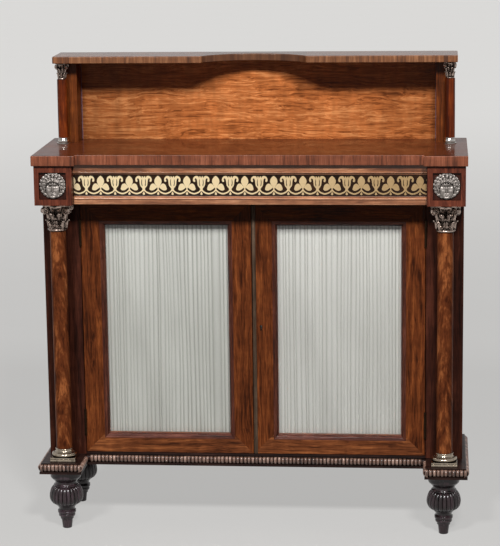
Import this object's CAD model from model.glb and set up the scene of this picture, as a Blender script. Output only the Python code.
"""Looks of the chiffonier: figured rosewood, brass inlay, silvered mounts, glass and pleated silk.

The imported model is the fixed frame. Every length in a sub-assembly's fields is in millimetres, and every mesh is
written in metres where it stands, so that each finished object keeps its origin at the frame's own.
"""
import logging
from collections.abc import Callable, Iterator, Sequence
from contextlib import contextmanager
from dataclasses import dataclass
from enum import Enum
from math import cos, dist, exp, pi, radians, sin, sqrt

import bmesh
import bpy
import numpy as np
from mathutils import Matrix, Vector


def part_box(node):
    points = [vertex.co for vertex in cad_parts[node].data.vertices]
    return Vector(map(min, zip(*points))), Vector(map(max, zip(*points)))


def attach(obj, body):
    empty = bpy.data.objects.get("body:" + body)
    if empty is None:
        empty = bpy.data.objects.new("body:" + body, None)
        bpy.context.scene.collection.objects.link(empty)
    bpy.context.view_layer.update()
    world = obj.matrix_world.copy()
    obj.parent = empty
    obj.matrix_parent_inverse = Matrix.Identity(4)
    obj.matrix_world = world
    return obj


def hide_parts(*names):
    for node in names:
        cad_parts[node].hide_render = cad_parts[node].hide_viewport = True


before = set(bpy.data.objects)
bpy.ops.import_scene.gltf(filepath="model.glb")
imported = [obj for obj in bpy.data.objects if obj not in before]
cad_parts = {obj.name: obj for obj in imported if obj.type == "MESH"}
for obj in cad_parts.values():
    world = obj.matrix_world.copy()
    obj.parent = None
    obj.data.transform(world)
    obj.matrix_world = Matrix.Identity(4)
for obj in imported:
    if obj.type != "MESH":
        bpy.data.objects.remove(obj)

MM = 0.001
TAU = 2 * pi
SIDES = (("left", -1), ("right", 1))
UP = Vector((0, 0, 1))
BLACK = (0.0, 0.0, 0.0, 1.0)
WHITE = (1.0, 1.0, 1.0, 1.0)
Colour = tuple[float, float, float, float]
Point2 = tuple[float, float]
Point3 = tuple[float, float, float]
Line = Sequence[Point2]
Array = np.ndarray
Mesh, Material, Node, Socket = bpy.types.Mesh, bpy.types.Material, bpy.types.Node, bpy.types.NodeSocket
Thing = bpy.types.Object
log = logging.getLogger("chiffonier")
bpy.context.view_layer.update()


def corners(node: str) -> list[Vector]:
    """A CAD node's lowest and highest corner, in millimetres."""
    return [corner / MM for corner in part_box(node)]


# ---- colours and node wiring
def paint(red: int, green: int, blue: int) -> Colour:
    """A linear colour, from the finish as seen on a screen, 0 to 255."""
    shares = [level / 255 for level in (red, green, blue)]
    return (*(share / 12.92 if share <= 0.04045 else ((share + 0.055) / 1.055) ** 2.4 for share in shares), 1.0)


class Wiring:
    """Adds nodes to one tree and links them."""

    def __init__(self, tree: bpy.types.NodeTree) -> None:
        """Keep the tree."""
        self.tree = tree

    def sockets(self, way: str, kinds: dict[str, str]) -> dict[str, str]:
        """Give the tree inputs or outputs of some kinds, and return their identifiers by name."""
        add = self.tree.interface.new_socket
        return {word: add(name=word, in_out=way, socket_type="NodeSocket" + kind).identifier
                for word, kind in kinds.items()}

    def feed(self, socket: Socket, value: object) -> None:
        """Link a socket to another, or give it a value.

        Args:
            socket: The input to feed.
            value: An output socket or a plain value.
        """
        if isinstance(value, Socket):
            self.tree.links.new(value, socket)
        else:
            socket.default_value = value

    def fill(self, node: Node, **inputs: object) -> None:
        """Feed a node's inputs by name, with _ for a blank."""
        for key, value in inputs.items():
            self.feed(node.inputs[key.replace("_", " ")], value)

    def add(self, kind: str, settings: dict[str, object] | None = None, **inputs: object) -> Node:
        """Add a node.

        Args:
            kind: The node's type.
            settings: Its own properties.
            inputs: Values or sockets for its inputs by name, with _ for a blank.

        Returns:
            The new node.
        """
        node = self.tree.nodes.new(kind)
        for key, value in (settings or {}).items():
            setattr(node, key, value)
        self.fill(node, **inputs)
        return node

    def work(self, kind: str, settings: dict[str, object], *values: object) -> Socket:
        """Add a node whose inputs are fed in their order.

        Args:
            kind: The node's type.
            settings: Its own properties.
            values: Numbers, vectors or sockets for its first inputs.

        Returns:
            Its first output.
        """
        node = self.add(kind, settings)
        for socket, value in zip(node.inputs, values):
            self.feed(socket, value)
        return node.outputs[0]

    def calc(self, operation: str, *values: object, clamp: bool = False) -> Socket:
        """A number worked out by the Math node's operation of that name."""
        return self.work("ShaderNodeMath", {"operation": operation, "use_clamp": clamp}, *values)

    def times(self, first: object, second: object, clamp: bool = False) -> Socket:
        """A product."""
        return self.calc("MULTIPLY", first, second, clamp=clamp)

    def plus(self, first: object, second: object, clamp: bool = False) -> Socket:
        """A sum."""
        return self.calc("ADD", first, second, clamp=clamp)

    def minus(self, first: object, second: object) -> Socket:
        """A difference."""
        return self.calc("SUBTRACT", first, second)

    def size(self, value: object) -> Socket:
        """A number without its sign."""
        return self.calc("ABSOLUTE", value)

    def span(self, value: object, low: float, high: float, to_low: object = 0.0, to_high: object = 1.0) -> Socket:
        """A smooth step from to_low to to_high while the value goes from low to high."""
        return self.add("ShaderNodeMapRange", {"interpolation_type": "SMOOTHSTEP"}, Value=value, From_Min=low,
                        From_Max=high, To_Min=to_low, To_Max=to_high).outputs[0]

    def blend(self, factor: object, first: object, second: object, mode: str = "MIX") -> Socket:
        """One colour over another.

        Args:
            factor: How much of the second shows, 0 to 1.
            first: The colour below.
            second: The colour above.
            mode: Name of the Mix node's way of blending.

        Returns:
            The blended colour.
        """
        node = self.add("ShaderNodeMix", {"data_type": "RGBA", "blend_type": mode})
        for index, value in ((0, factor), (6, first), (7, second)):
            self.feed(node.inputs[index], value)
        return node.outputs[2]

    def tinted(self, colour: object, tint: object) -> Socket:
        """A colour times another."""
        return self.blend(1.0, colour, tint, "MULTIPLY")

    def scaled(self, vector: object, scale: object) -> Socket:
        """A vector times another, part by part."""
        return self.work("ShaderNodeVectorMath", {"operation": "MULTIPLY"}, vector, scale)

    def moved(self, vector: object, offset: object) -> Socket:
        """A vector plus another."""
        return self.work("ShaderNodeVectorMath", {"operation": "ADD"}, vector, offset)

    def split(self, vector: object) -> Sequence[Socket]:
        """A vector's three parts."""
        return self.add("ShaderNodeSeparateXYZ", None, Vector=vector).outputs

    def united(self, x: object, y: object, z: object) -> Socket:
        """A vector from its three parts."""
        return self.work("ShaderNodeCombineXYZ", {}, x, y, z)

    def where(self, output: str = "Object") -> Socket:
        """The point on the piece, or another output of Texture Coordinate."""
        return self.add("ShaderNodeTexCoord").outputs[output]

    def hidden(self, depth: object) -> Socket:
        """1 in the open, falling towards 0 in a hollow of that depth in metres."""
        return self.add("ShaderNodeAmbientOcclusion", {"samples": 8}, Distance=depth).outputs["AO"]

    def seen(self) -> Socket:
        """What the camera sees, as against the light itself.

        Returns:
            1 for what it sees straight, in a gloss or through glass, and 0 for the light.
        """
        ray = self.add("ShaderNodeLightPath").outputs
        straight = self.calc("MAXIMUM", ray["Is Camera Ray"], ray["Is Glossy Ray"])
        return self.calc("MAXIMUM", straight, ray["Is Transmission Ray"])

    def bump(self, shader: Node, height: object, depth: float, strength: float) -> None:
        """Feed a shader's normal from a height, whose full step is so many millimetres deep."""
        bump = self.add("ShaderNodeBump", None, Strength=strength, Distance=depth * MM, Height=height)
        self.fill(shader, Normal=bump.outputs[0])

    def speckle(self, vector: object, scale: float, detail: float = 2.0, roughness: float = 0.5) -> Socket:
        """Noise from 0 to 1."""
        return self.add("ShaderNodeTexNoise", None, Vector=vector, Scale=scale, Detail=detail,
                        Roughness=roughness).outputs[0]

    def streaks(self, vector: object, scale: object, detail: float, roughness: float = 0.5) -> Socket:
        """Noise with its own scale on each axis."""
        return self.speckle(self.scaled(vector, scale), 1.0, detail, roughness)


class ShaderGroup:
    """A shader effect with named sockets, built once and placed in each material that uses it."""

    name = "effect"
    takes: dict[str, str] = {}
    gives: dict[str, str] = {"Color": "Color", "Roughness": "Float", "Height": "Float"}
    _tree: bpy.types.NodeTree | None = None

    @classmethod
    def tree(cls) -> bpy.types.NodeTree:
        """The group's tree, built at its first use.

        Returns:
            The tree.
        """
        if cls._tree is None:
            tree = bpy.data.node_groups.new(cls.name, "ShaderNodeTree")
            net = Wiring(tree)
            net.sockets("INPUT", cls.takes)
            net.sockets("OUTPUT", cls.gives)
            source = net.add("NodeGroupInput").outputs
            net.fill(net.add("NodeGroupOutput"), **cls.wire(net, source))
            cls._tree = tree
        return cls._tree

    @classmethod
    def wire(cls, net: Wiring, source: object) -> dict[str, Socket]:
        """Fill the group.

        Args:
            net: The group's nodes.
            source: The group's inputs by name.

        Returns:
            What each of its outputs gets.
        """
        raise NotImplementedError

    @classmethod
    def place(cls, net: Wiring, **inputs: object) -> Node:
        """Put the group into a material's tree, with values or sockets by name."""
        return net.add("ShaderNodeGroup", {"node_tree": cls.tree()}, **inputs)


class WoodGrain(ShaderGroup):
    """Streaks, dark veins, cross figure, flecks and pores, with the grain along the vector's own X."""

    name = "wood_grain"
    takes = {"Vector": "Vector", "Along": "Float", "Across": "Float", "Warp": "Float", "Dark": "Color",
             "Middle": "Color", "Light": "Color", "Veins": "Float", "Figure": "Float", "Pores": "Float"}
    drift_scale = (4.0, 13.0, 13.0)
    fine_scale = (2.6, 3.2, 3.2)
    ring_scale = (0.6, 0.45, 0.45)
    figure_scale = (46.0, 12.0, 12.0)
    fleck_scale = (38.0, 420.0, 420.0)
    pore_scale = (150.0, 1500.0, 1500.0)
    ring_count = 6.0
    shares = (0.45, 0.33, 0.22)

    @classmethod
    def wire(cls, net: Wiring, source: object) -> dict[str, Socket]:
        """Warp the grain, mix wide, middle and fine streaks, then lay veins, figure and flecks over them.

        Args:
            net: The group's nodes.
            source: The group's inputs by name.

        Returns:
            What each of its outputs gets.
        """
        place, across, dark = source["Vector"], source["Across"], source["Dark"]
        drift = net.streaks(place, cls.drift_scale, 3.0, 0.55)
        sway = net.times(net.minus(drift, 0.5), source["Warp"])
        flow = net.moved(place, net.united(0.0, sway, sway))
        streaked = net.scaled(flow, net.united(source["Along"], across, across))
        middle = net.speckle(streaked, 1.0, 3.0, 0.55)
        fine = net.streaks(streaked, cls.fine_scale, 3.0, 0.6)
        parts = [net.times(part, share) for part, share in zip((middle, fine, drift), cls.shares)]
        mixed = net.plus(parts[0], net.plus(parts[1], parts[2]))
        colour = net.blend(net.span(mixed, 0.38, 0.5), dark, source["Middle"])
        colour = net.blend(net.span(mixed, 0.49, 0.62), colour, source["Light"])
        rings = net.times(net.streaks(streaked, cls.ring_scale, 2.0), cls.ring_count)
        vein = net.span(net.calc("PINGPONG", rings, 0.5), 0.1, 0.0)
        colour = net.blend(net.times(vein, source["Veins"]), colour, dark)
        cross = net.span(net.streaks(flow, cls.figure_scale, 2.0, 0.55), 0.3, 0.7)
        glint = net.times(net.minus(cross, 0.5), source["Figure"])
        tone = net.plus(net.plus(glint, glint), 1.0)
        shade = net.add("ShaderNodeCombineColor", None, Red=tone, Green=tone, Blue=tone).outputs[0]
        colour = net.tinted(colour, shade)
        flecks = net.span(net.streaks(flow, cls.fleck_scale, 1.0), 0.58, 0.7)
        pores = net.span(net.streaks(flow, cls.pore_scale, 1.0), 0.56, 0.68)
        hole = net.times(net.calc("MAXIMUM", flecks, net.times(pores, 0.5)), source["Pores"])
        return {"Color": net.blend(net.times(hole, 0.75), colour, dark),
                "Roughness": net.plus(net.times(hole, 0.2), net.span(drift, 0.3, 0.7, 0.0, 0.06)),
                "Height": net.minus(net.times(fine, 0.3), hole)}


class FrameMitre(ShaderGroup):
    """Says which member of a mitred frame a point is on: 1 on the uprights, 0 on the rails."""

    name = "frame_mitre"
    takes = {"Vector": "Vector", "Low": "Vector", "High": "Vector"}
    gives = {"Upright": "Float", "Joint": "Float"}
    joint = 0.0005
    sharp = 0.0001

    @classmethod
    def wire(cls, net: Wiring, source: object) -> dict[str, Socket]:
        """Compare the distances to the upright edges and to the level ones.

        Args:
            net: The group's nodes.
            source: The group's inputs by name.

        Returns:
            What each of its outputs gets.
        """
        at, low, high = (net.split(source[word]) for word in ("Vector", "Low", "High"))
        gaps = [net.calc("MINIMUM", net.minus(at[axis], low[axis]), net.minus(high[axis], at[axis]))
                for axis in (0, 2)]
        apart = net.minus(gaps[1], gaps[0])
        return {"Upright": net.span(apart, -cls.sharp, cls.sharp),
                "Joint": net.span(net.size(apart), cls.joint, cls.sharp)}


class MetalPatina(ShaderGroup):
    """Clean metal on what stands proud, dark tarnish in the hollows, and a soft cloudiness."""

    name = "metal_patina"
    takes = {"Vector": "Vector", "Clean": "Color", "Tarnish": "Color", "Depth": "Float", "Amount": "Float",
             "Fade": "Float", "Gloss": "Float"}
    cloud_scale = 160.0
    fine_scale = 1400.0

    @classmethod
    def wire(cls, net: Wiring, source: object) -> dict[str, Socket]:
        """Read how hidden a point is, and stain and roughen it by that.

        Args:
            net: The group's nodes.
            source: The group's inputs by name.

        Returns:
            What each of its outputs gets.
        """
        open_air = net.hidden(source["Depth"])
        clouds = net.speckle(source["Vector"], cls.cloud_scale, 4.0, 0.6)
        fine = net.speckle(source["Vector"], cls.fine_scale, 2.0, 0.6)
        hollow = net.times(net.span(open_air, 0.85, 0.35), source["Amount"], clamp=True)
        faded = net.times(net.span(net.split(source["Vector"])[0], -0.25, 0.4), source["Fade"])
        cloudy = net.times(net.span(clouds, 0.45, 0.75), net.times(source["Amount"], 0.3))
        stain = net.plus(hollow, net.plus(cloudy, faded), clamp=True)
        return {"Color": net.blend(stain, source["Clean"], source["Tarnish"]),
                "Roughness": net.plus(source["Gloss"], net.times(stain, 0.35)),
                "Height": net.plus(clouds, net.times(fine, 0.3))}


# ---- finishes
class Grain(Enum):
    """Which way the grain runs, as the turn that brings it onto X."""

    ACROSS = (0.0, 0.0, 0.0)
    UPRIGHT = (0.0, pi / 2, 0.0)
    INWARDS = (0.0, 0.0, -pi / 2)


class Layout(Enum):
    """How veneer is laid on a piece."""

    PLAIN = "one way"
    MITRED = "round a frame"
    CROSSBANDED = "one way on the flat, upright on the edges"


@dataclass(frozen=True)
class Finish:
    """A finish, which makes one material."""

    name: str

    def build(self) -> Material:
        """Make the material.

        Returns:
            The material, with a Principled shader.
        """
        material = bpy.data.materials.new(self.name)
        material.use_nodes = True
        material.node_tree.nodes.clear()
        net = Wiring(material.node_tree)
        shader = net.add("ShaderNodeBsdfPrincipled")
        net.add("ShaderNodeOutputMaterial", None, Surface=shader.outputs[0])
        self.dress(net, shader)
        return material

    def dress(self, net: Wiring, shader: Node) -> None:
        """Feed the shader.

        Args:
            net: The material's nodes.
            shader: Its Principled shader.
        """
        raise NotImplementedError


@dataclass(frozen=True)
class Rosewood(Finish):
    """Polished rosewood, as veneer or solid."""

    dark: Colour
    middle: Colour
    light: Colour
    grain: Grain = Grain.ACROSS
    layout: Layout = Layout.PLAIN
    tilt: float = 0.0
    along: float = 6.0
    across: float = 85.0
    warp: float = 0.02
    veins: float = 0.3
    figure: float = 0.12
    pores: float = 0.55
    flat_shade: float = 0.75
    roughness: float = 0.36
    polish: float = 0.08
    polish_roughness: float = 0.16
    specular: float = 0.1
    relief: float = 0.12
    bump: float = 0.35
    ends: float = 0.0
    mended: float = 0.0
    lined: float = 1.0
    line: Colour = paint(116, 104, 128)
    faded_rail: Colour = (1.35, 1.6, 1.95, 1.0)
    rail_levels: Point2 = (0.5, 0.4)
    worn_polish: float = 0.3
    grime: float = 0.0
    grime_depth: float = 7.0
    hollow: tuple[float, float, float, float] | None = None
    corners: tuple[Vector, Vector] | None = None

    def grained(self, net: Wiring, grain: Grain, place: Socket) -> Sequence[Socket]:
        """The grain group, turned so that the grain runs as asked.

        Args:
            net: The material's nodes.
            grain: The way that the grain runs.
            place: The point on the piece.

        Returns:
            The group's colour, roughness and height.
        """
        turn = Vector(grain.value) + self.tilt * UP
        mapping = net.add("ShaderNodeMapping", None, Vector=place, Rotation=tuple(turn),
                          Location=(len(self.name) * 0.37, 0.11, 0.23))
        return WoodGrain.place(net, Vector=mapping.outputs[0], Along=self.along, Across=self.across,
                               Warp=self.warp, Dark=self.dark, Middle=self.middle, Light=self.light,
                               Veins=self.veins, Figure=self.figure, Pores=self.pores).outputs

    def aged(self, net: Wiring, colour: Socket, place: Socket) -> Socket:
        """Darker ends, a darker mended length, a pale line at each end and a dark sunk square.

        Args:
            net: The material's nodes.
            colour: The wood's colour.
            place: The point on the piece.

        Returns:
            The aged colour.
        """
        x, y, z = net.split(place)
        across = net.size(x)
        if self.ends:
            lean = net.span(x, -0.4, 0.4, 1.35, 0.75)
            shade = net.times(net.span(across, 0.1, 0.44, 0.0, self.ends), lean)
            colour = net.blend(shade, colour, BLACK)
        if self.mended:
            inside = net.times(net.calc("LESS_THAN", across, self.mended), 0.6)
            colour = net.blend(inside, colour, self.dark)
        if self.lined < 1:
            colour = net.blend(net.times(net.calc("GREATER_THAN", across, self.lined), 0.7), colour, self.line)
        if self.hollow:
            centre, level, half, front = self.hollow
            gaps = [net.size(net.minus(*pair)) for pair in ((across, centre), (z, level))]
            away = net.calc("MAXIMUM", *gaps)
            sunk = net.times(net.calc("LESS_THAN", away, half), net.calc("GREATER_THAN", y, front))
            colour = net.blend(net.times(sunk, 0.85), colour, self.dark)
        return colour

    def framed(self, net: Wiring, colour: Socket, upright: Socket, place: Socket) -> Socket:
        """Grain that turns at a frame's mitres, with a paler lower rail and a dark joint.

        Args:
            net: The material's nodes.
            colour: The colour with level grain.
            upright: The colour with upright grain.
            place: The point on the piece.

        Returns:
            The frame's colour.
        """
        low, high = (tuple(corner) for corner in self.corners)
        mitre = FrameMitre.place(net, Vector=place, Low=low, High=high).outputs
        lower = net.span(net.split(place)[2], *self.rail_levels)
        colour = net.blend(lower, colour, net.tinted(colour, self.faded_rail))
        colour = net.blend(mitre["Upright"], colour, upright)
        return net.blend(net.times(mitre["Joint"], 0.6), colour, self.dark)

    def crossbanded(self, net: Wiring, colour: Socket, upright: Socket) -> tuple[Socket, Socket]:
        """A darkened flat with upright grain on the edges.

        Args:
            net: The material's nodes.
            colour: The colour with level grain.
            upright: The colour with upright grain.

        Returns:
            The slab's colour, and the roughness of its polish, which is fresh on the flat only.
        """
        level = net.size(net.split(net.where("Normal"))[2])
        shade = self.flat_shade
        flat = net.tinted(colour, (shade, shade * 0.75, shade * 0.45, 1.0))
        colour = net.blend(net.span(level, 0.75, 0.6), flat, upright)
        return colour, net.span(level, 0.96, 1.0, self.worn_polish, self.polish_roughness)

    def dress(self, net: Wiring, shader: Node) -> None:
        """Lay the grain, age it and polish it.

        Args:
            net: The material's nodes.
            shader: The material's shader.
        """
        place = net.where()
        colour, roughness, height = self.grained(net, self.grain, place)
        gloss = self.polish_roughness
        if self.layout is not Layout.PLAIN:
            upright = self.grained(net, Grain.UPRIGHT, place)[0]
            if self.layout is Layout.MITRED:
                colour = self.framed(net, colour, upright, place)
            else:
                colour, gloss = self.crossbanded(net, colour, upright)
        if self.ends or self.mended or self.lined < 1 or self.hollow:
            colour = self.aged(net, colour, place)
        if self.grime:
            dirt = net.span(net.hidden(self.grime_depth * MM), 0.85, 0.4, 0.0, self.grime)
            colour = net.blend(dirt, colour, self.dark)
        net.fill(shader, Base_Color=colour, Roughness=net.plus(roughness, self.roughness),
                 Specular_IOR_Level=self.specular, Coat_Weight=self.polish, Coat_Roughness=gloss)
        net.bump(shader, height, self.relief, self.bump)


@dataclass(frozen=True)
class Metal(Finish):
    """Cast, turned or sheet metal with its patina."""

    clean: Colour
    tarnish: Colour
    depth: float = 4.0
    amount: float = 1.0
    fade: float = 0.0
    gloss: float = 0.2
    relief: float = 0.06
    bump: float = 0.35

    def dress(self, net: Wiring, shader: Node) -> None:
        """Metal with its patina.

        Args:
            net: The material's nodes.
            shader: The material's shader.
        """
        patina = MetalPatina.place(net, Vector=net.where(), Clean=self.clean, Tarnish=self.tarnish,
                                   Depth=self.depth * MM, Amount=self.amount, Fade=self.fade, Gloss=self.gloss).outputs
        net.fill(shader, Base_Color=patina["Color"], Roughness=patina["Roughness"], Metallic=1.0)
        net.bump(shader, patina["Height"], self.relief, self.bump)


@dataclass(frozen=True)
class Glazing(Finish):
    """Old clear glass: slightly wavy, and open to the light that falls through it."""

    name: str = "door_glass"
    tint: Colour = (0.97, 0.985, 0.975, 1.0)
    roughness: float = 0.02
    refraction: float = 1.45
    wave: float = 1.5
    wave_scale: float = 6.0
    bump: float = 0.06

    def dress(self, net: Wiring, shader: Node) -> None:
        """Clear glass that lets shadow and bounced rays through.

        Args:
            net: The material's nodes.
            shader: The material's shader.
        """
        net.fill(shader, Base_Color=self.tint, Roughness=self.roughness, IOR=self.refraction,
                 Transmission_Weight=1.0)
        net.bump(shader, net.speckle(net.where(), self.wave_scale, 1.0), self.wave, self.bump)
        ray = net.add("ShaderNodeLightPath").outputs
        through = net.calc("MAXIMUM", ray["Is Shadow Ray"], ray["Is Diffuse Ray"])
        clear = net.add("ShaderNodeBsdfTransparent")
        mixed = net.work("ShaderNodeMixShader", {}, through, shader.outputs[0], clear.outputs[0])
        output = next(node for node in net.tree.nodes if node.type == "OUTPUT_MATERIAL")
        net.fill(output, Surface=mixed)


@dataclass(frozen=True)
class SilkCloth(Finish):
    """Thin pleated silk, a plain weave with slubs, read from the cloth's own UV map in metres."""

    name: str = "pleated_silk"
    fresh: Colour = paint(226, 225, 219)
    pale: Colour = paint(205, 204, 197)
    deep: Colour = paint(180, 179, 172)
    dust: Colour = paint(132, 131, 121)
    warp_threads: int = 2200
    weft_threads: int = 1800
    slub_scale: Point3 = (700.0, 20.0, 1.0)
    shade_scale: Point3 = (11.0, 3.0, 1.0)
    relief: float = 0.05
    bump: float = 0.4

    def dress(self, net: Wiring, shader: Node) -> None:
        """A weave with slubs, paler upwards and dusty in its folds.

        Args:
            net: The material's nodes.
            shader: The material's shader.
        """
        place = net.add("ShaderNodeUVMap", {"uv_map": "cloth"}).outputs[0]
        across, height, _ = net.split(place)
        fold = net.add("ShaderNodeAttribute", {"attribute_name": "fold"}).outputs["Fac"]
        slubs = net.streaks(place, self.slub_scale, 3.0, 0.6)
        shade = net.streaks(place, self.shade_scale, 2.0)
        threads = [net.calc("SINE", net.times(way, TAU * count))
                   for way, count in ((across, self.warp_threads), (height, self.weft_threads))]
        weave = net.times(*threads)
        mixed = net.plus(net.span(slubs, 0.3, 0.75, 0.0, 0.25), net.span(shade, 0.35, 0.65, 0.0, 0.55))
        cloth = net.blend(net.span(height, 0.25, 0.62, 0.0, 0.7), net.blend(mixed, self.pale, self.deep),
                          self.fresh)
        net.fill(shader, Base_Color=net.blend(net.span(fold, -0.1, 0.95), self.dust, cloth),
                 Roughness=net.span(slubs, 0.3, 0.7, 0.45, 0.62), Sheen_Weight=0.25, Sheen_Roughness=0.35,
                 Specular_IOR_Level=0.4)
        net.bump(shader, net.plus(net.times(weave, 0.35), slubs), self.relief, self.bump)


@dataclass(frozen=True)
class CarcassWood(Finish):
    """Plain unpolished secondary wood, planed and darkened with age."""

    pale: Colour
    deep: Colour
    grain: Grain = Grain.ACROSS
    roughness: float = 0.6
    relief: float = 0.2
    bump: float = 0.5

    def dress(self, net: Wiring, shader: Node) -> None:
        """Plain grain, dry and rough.

        Args:
            net: The material's nodes.
            shader: The material's shader.
        """
        turned_place = net.add("ShaderNodeMapping", None, Vector=net.where(), Rotation=self.grain.value)
        colour, roughness, height = WoodGrain.place(
            net, Vector=turned_place.outputs[0], Along=2.0, Across=34.0, Warp=0.02, Dark=self.deep,
            Middle=self.pale, Light=self.pale, Veins=0.35, Figure=0.05, Pores=0.3).outputs
        net.fill(shader, Base_Color=colour, Roughness=net.plus(roughness, self.roughness),
                 Specular_IOR_Level=0.3)
        net.bump(shader, height, self.relief, self.bump)


@dataclass(frozen=True)
class FloorPaint(Finish):
    """A pale floor that throws little light back, and glows softly where it is seen."""

    name: str = "floor_paint"
    paints: tuple[Colour, Colour] = ((0.165, 0.162, 0.157, 1), (0.185, 0.182, 0.179, 1))
    bounce: Colour = (0.04, 0.039, 0.038, 1)
    glow: Colour = (1.0, 0.99, 0.97, 1.0)
    glow_reach: Point2 = (1.0, 9.0)
    glow_strength: Point2 = (0.45, 0.66)

    def dress(self, net: Wiring, shader: Node) -> None:
        """Faint mottle, and a glow that grows with the distance.

        Args:
            net: The material's nodes.
            shader: The material's shader.
        """
        place, seen = net.where(), net.seen()
        away = net.add("ShaderNodeVectorMath", {"operation": "LENGTH"})
        net.feed(away.inputs[0], place)
        paler = net.blend(net.speckle(place, 3.0, 3.0), *self.paints)
        glow = net.span(away.outputs["Value"], *self.glow_reach, *self.glow_strength)
        net.fill(shader, Base_Color=net.blend(seen, self.bounce, paler), Roughness=0.8,
                 Specular_IOR_Level=0.2, Emission_Strength=net.times(glow, seen), Emission_Color=self.glow)


# ---- meshes
def linked(name: str, data: bpy.types.ID) -> Thing:
    """A new object in the scene.

    Args:
        name: Its name.
        data: Its mesh, curve, lamp or camera.

    Returns:
        The object.
    """
    thing = bpy.data.objects.new(name, data)
    bpy.context.scene.collection.objects.link(thing)
    return thing


def evaluated(thing: Thing) -> Mesh:
    """A plain mesh of an object, as its curve or its modifiers leave it."""
    return bpy.data.meshes.new_from_object(thing.evaluated_get(bpy.context.evaluated_depsgraph_get()))


def piece(name: str, mesh: Mesh, *materials: Material) -> Thing:
    """Put a finished mesh in the scene.

    Args:
        name: The piece's name.
        mesh: Its mesh, in metres, where it stands.
        materials: Its material slots.

    Returns:
        The object.
    """
    mesh.name = name
    if mesh.materials:  # clearing no slots would still reset the faces' own slot numbers
        mesh.materials.clear()
    for material in materials:
        mesh.materials.append(material)
    return linked(name, mesh)


def settle(thing: Thing, body: str, slot: str, *nodes: str) -> Thing:
    """Let a piece ride on a body and stand for CAD nodes.

    Args:
        thing: The piece.
        body: The body that it moves with.
        slot: The record's material slot.
        nodes: The CAD nodes that it replaces.

    Returns:
        The piece.
    """
    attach(thing, body)
    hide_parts(*nodes)
    log.info("%s on %s, %d faces", thing.name, body, len(thing.data.polygons))
    return thing


@contextmanager
def opened(mesh: Mesh) -> Iterator[bmesh.types.BMesh]:
    """Open a mesh for bmesh work, and write it back.

    Args:
        mesh: The mesh.

    Yields:
        Its bmesh.
    """
    work = bmesh.new()
    work.from_mesh(mesh)
    yield work
    work.to_mesh(mesh)
    work.free()


def finished(mesh: Mesh, angle: float = 35.0, merge: float = 1e-6) -> Mesh:
    """Merge doubles, turn normals outwards and shade smooth.

    Args:
        mesh: The mesh.
        angle: Edges sharper than this, in degrees, stay sharp.
        merge: How near two points are one, in metres.

    Returns:
        The same mesh.
    """
    with opened(mesh) as work:
        bmesh.ops.remove_doubles(work, verts=work.verts, dist=merge)
        bmesh.ops.dissolve_degenerate(work, edges=work.edges, dist=1e-7)
        bmesh.ops.recalc_face_normals(work, faces=work.faces)
    mesh.shade_smooth()
    mesh.set_sharp_from_angle(angle=radians(angle))
    return mesh


def rough(points: Sequence[Point3], faces: Sequence[tuple[int, ...]]) -> Mesh:
    """A mesh from points in millimetres, as it comes.

    Args:
        points: Its corners.
        faces: The corners of each face.

    Returns:
        The mesh.
    """
    mesh = bpy.data.meshes.new("part")
    mesh.from_pydata([tuple(c * MM for c in point) for point in points], [], faces)
    return mesh


def joined(meshes: list[Mesh]) -> Mesh:
    """Several meshes as one.

    Args:
        meshes: The parts, which are removed.

    Returns:
        The whole.
    """
    work = bmesh.new()
    for mesh in meshes:
        work.from_mesh(mesh)
        bpy.data.meshes.remove(mesh)
    whole = bpy.data.meshes.new("joined")
    work.to_mesh(whole)
    work.free()
    return whole


def shifted(mesh: Mesh, offset: Sequence[float]) -> Mesh:
    """A copy of a mesh moved by an offset.

    Args:
        mesh: The mesh, which stays.
        offset: How far, in millimetres.

    Returns:
        The copy.
    """
    copy = mesh.copy()
    copy.transform(Matrix.Translation(Vector(offset) * MM))
    return copy


def flowing(points: Line, steps: int, closed: bool = False) -> list[Point2]:
    """A smooth line through points.

    Args:
        points: Points that the line goes through.
        steps: Pieces between two points.
        closed: Whether the line returns to its start.

    Returns:
        The line's points.
    """
    count = len(points)
    line = []
    for index in range(count if closed else count - 1):
        near = [np.array(points[(index + k) % count] if closed else points[min(max(index + k, 0), count - 1)])
                for k in (-1, 0, 1, 2)]
        for step in range(steps):
            t = step / steps
            line.append(tuple(0.5 * (2 * near[1] + (near[2] - near[0]) * t
                                     + (2 * near[0] - 5 * near[1] + 4 * near[2] - near[3]) * t ** 2
                                     + (3 * near[1] - near[0] - 3 * near[2] + near[3]) * t ** 3)))
    return line if closed else line + [tuple(points[-1])]


def heading(line: Sequence[Sequence[float]], index: int) -> Vector:
    """The way that a line runs at one of its points, in its first two coordinates."""
    before, after = line[max(index - 1, 0)], line[min(index + 1, len(line) - 1)]
    return Vector((after[0] - before[0], after[1] - before[1])).normalized()


def evenly(steps: int) -> list[float]:
    """Even places from -1 to 1."""
    return [2 * step / (steps - 1) - 1 for step in range(steps)]


def dome(side: float) -> float:
    """Height of a half circle over a place from -1 to 1."""
    return sqrt(max(0.0, 1 - side * side))


def loft(rows: Sequence[Sequence[Point3]], closed: bool = False) -> Mesh:
    """A skin over rings of points, one after the other.

    Args:
        rows: Rings with the same number of points, in millimetres.
        closed: Whether the last ring joins the first; else both are filled.

    Returns:
        The mesh.
    """
    size, stops = len(rows[0]), len(rows)
    faces = []
    for stop in range(stops if closed else stops - 1):
        here, after = stop * size, (stop + 1) % stops * size
        faces += [(here + step, here + (step + 1) % size, after + (step + 1) % size, after + step)
                  for step in range(size)]
    if not closed:
        faces += [tuple(reversed(range(size))), tuple(range((stops - 1) * size, stops * size))]
    return finished(rough([point for row in rows for point in row], faces))


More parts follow.
